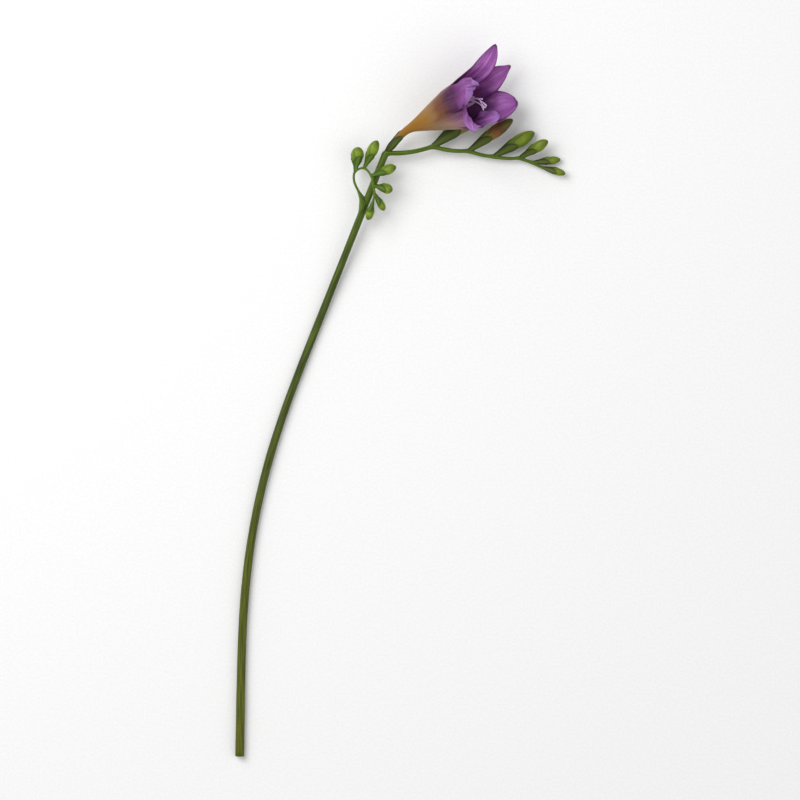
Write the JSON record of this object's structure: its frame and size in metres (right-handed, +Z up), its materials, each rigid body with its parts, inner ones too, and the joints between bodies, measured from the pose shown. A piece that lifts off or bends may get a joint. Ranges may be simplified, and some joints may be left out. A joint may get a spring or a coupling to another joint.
{
  "type": "cut freesia stem",
  "caption": "Cut freesia stem lying down: a long slender stem bent under an open violet funnel flower, a one-sided comb of shrinking green buds and a small side shoot of buds.",
  "frame": {"origin": "on the table under the middle of the lying stem's box", "axes": "+Y along the stem from the cut end towards the flowers, +X towards the tips of the buds, +Z up from the table"},
  "size_m": [0.1615, 0.3488, 0.0429],
  "materials": {
    "stem_green": "satin dark green skin with paler lengthwise streaks",
    "shoot_green": "satin yellow-green skin",
    "bract_green": "satin dark green sheath, fine parallel veins",
    "shoot_bract": "satin green sheath",
    "bud_green": "satin green bud with folded seams",
    "bud_olive": "satin olive bud flushed with red-brown",
    "tube": "soft amber at the foot, turning beige and then violet",
    "petal": "soft violet petal with fine veins and darker edges",
    "stamen": "matt pale lilac"
  },
  "bodies": {
    "root": {"bud_2": "petal", "bud_2_inner_bract": "bract_green", "bud_2_outer_bract": "bract_green", "bud_3": "bud_olive", "bud_3_inner_bract": "bract_green", "bud_3_outer_bract": "bract_green", "bud_4": "bud_green", "bud_4_inner_bract": "bract_green", "bud_4_outer_bract": "bract_green", "bud_5": "bud_green", "bud_5_inner_bract": "bract_green", "bud_5_outer_bract": "bract_green", "bud_6": "bud_green", "bud_6_inner_bract": "bract_green", "bud_6_outer_bract": "bract_green", "bud_7": "bud_green", "bud_7_inner_bract": "bract_green", "bud_7_outer_bract": "bract_green", "flower_inner_bract": "bract_green", "flower_outer_bract": "bract_green", "flower_tube": "tube", "inner_tepal_1": "petal", "inner_tepal_2": "petal", "inner_tepal_3": "petal", "node_leaf": "shoot_green", "outer_tepal_1": "petal", "outer_tepal_2": "petal", "outer_tepal_3": "petal", "shoot_bud_1": "shoot_green", "shoot_bud_1_inner_bract": "shoot_bract", "shoot_bud_1_outer_bract": "shoot_bract", "shoot_bud_2": "shoot_green", "shoot_bud_2_inner_bract": "shoot_bract", "shoot_bud_2_outer_bract": "shoot_bract", "shoot_bud_3": "shoot_green", "shoot_bud_3_inner_bract": "shoot_bract", "shoot_bud_3_outer_bract": "shoot_bract", "shoot_bud_4": "shoot_green", "shoot_bud_4_inner_bract": "shoot_bract", "shoot_bud_4_outer_bract": "shoot_bract", "shoot_bud_5": "shoot_green", "shoot_bud_5_inner_bract": "shoot_bract", "shoot_bud_5_outer_bract": "shoot_bract", "shoot_bud_6": "shoot_green", "shoot_bud_6_inner_bract": "shoot_bract", "shoot_bud_6_outer_bract": "shoot_bract", "side_shoot_stalk": "shoot_green", "stamen_1": "stamen", "stamen_2": "stamen", "stamen_3": "stamen", "stem": "stem_green", "style": "stamen"}
  },
  "joints": []
}
